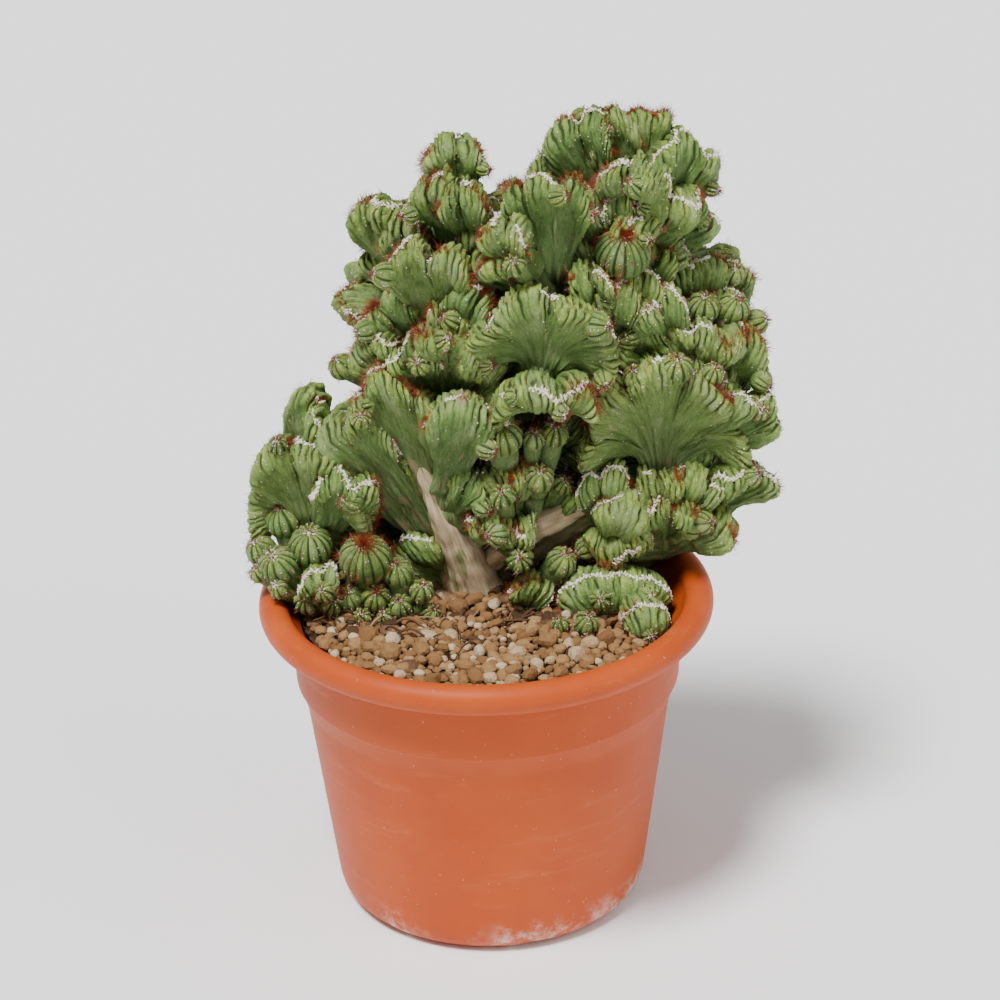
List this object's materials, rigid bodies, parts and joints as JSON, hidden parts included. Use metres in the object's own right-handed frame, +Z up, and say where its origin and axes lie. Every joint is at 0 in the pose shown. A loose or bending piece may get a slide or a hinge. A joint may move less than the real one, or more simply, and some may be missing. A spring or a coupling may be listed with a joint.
{
  "type": "potted crested cactus",
  "caption": "Crested cactus with many ribbed, fan-shaped crests and small offsets in a round terracotta-coloured pot topped with grit.",
  "frame": {"origin": "centre of the pot's flat underside", "axes": "+Z up through the pot, -Y towards the front with the open grit, +X to the right seen from the front"},
  "size_m": [0.2328, 0.202, 0.3526],
  "materials": {
    "pot_plastic": "matte terracotta-coloured plastic with fine horizontal scuffs and a pale lime bloom near the foot",
    "cactus_skin": "waxy green ribbed skin with woolly white crest lines and red-brown spines",
    "cork": "dry corky tan stem",
    "grit": "loose tan and cream angular grit",
    "soil": "dry dark peaty soil with dead roots and bark crumbs"
  },
  "bodies": {
    "root": {"pot": "pot_plastic", "trunk": "cork", "crest_star": "cactus_skin", "crest_right_fan": "cactus_skin", "crest_big_left": "cactus_skin", "crest_upper_middle": "cactus_skin", "crest_left_upper": "cactus_skin", "crest_left_middle": "cactus_skin", "crest_left_low": "cactus_skin", "crest_top_right": "cactus_skin", "crest_top_left": "cactus_skin", "crest_left_back": "cactus_skin", "crest_right_upper": "cactus_skin", "crest_right_knobs": "cactus_skin", "crest_middle_right": "cactus_skin", "crest_lower_right": "cactus_skin", "crest_centre": "cactus_skin", "crest_centre_back": "cactus_skin", "crest_upper_back": "cactus_skin", "crest_front_base": "cactus_skin", "offset_front": "cactus_skin", "crest_centre_low": "cactus_skin", "offsets_left": "cactus_skin", "offset_red": "cactus_skin", "offset_front_left": "cactus_skin", "offsets_grit": "cactus_skin", "crest_back_low": "cactus_skin", "crest_back_middle": "cactus_skin", "crest_back_upper": "cactus_skin", "grit_top_dressing": "grit", "potting_soil": "soil"}
  },
  "joints": []
}
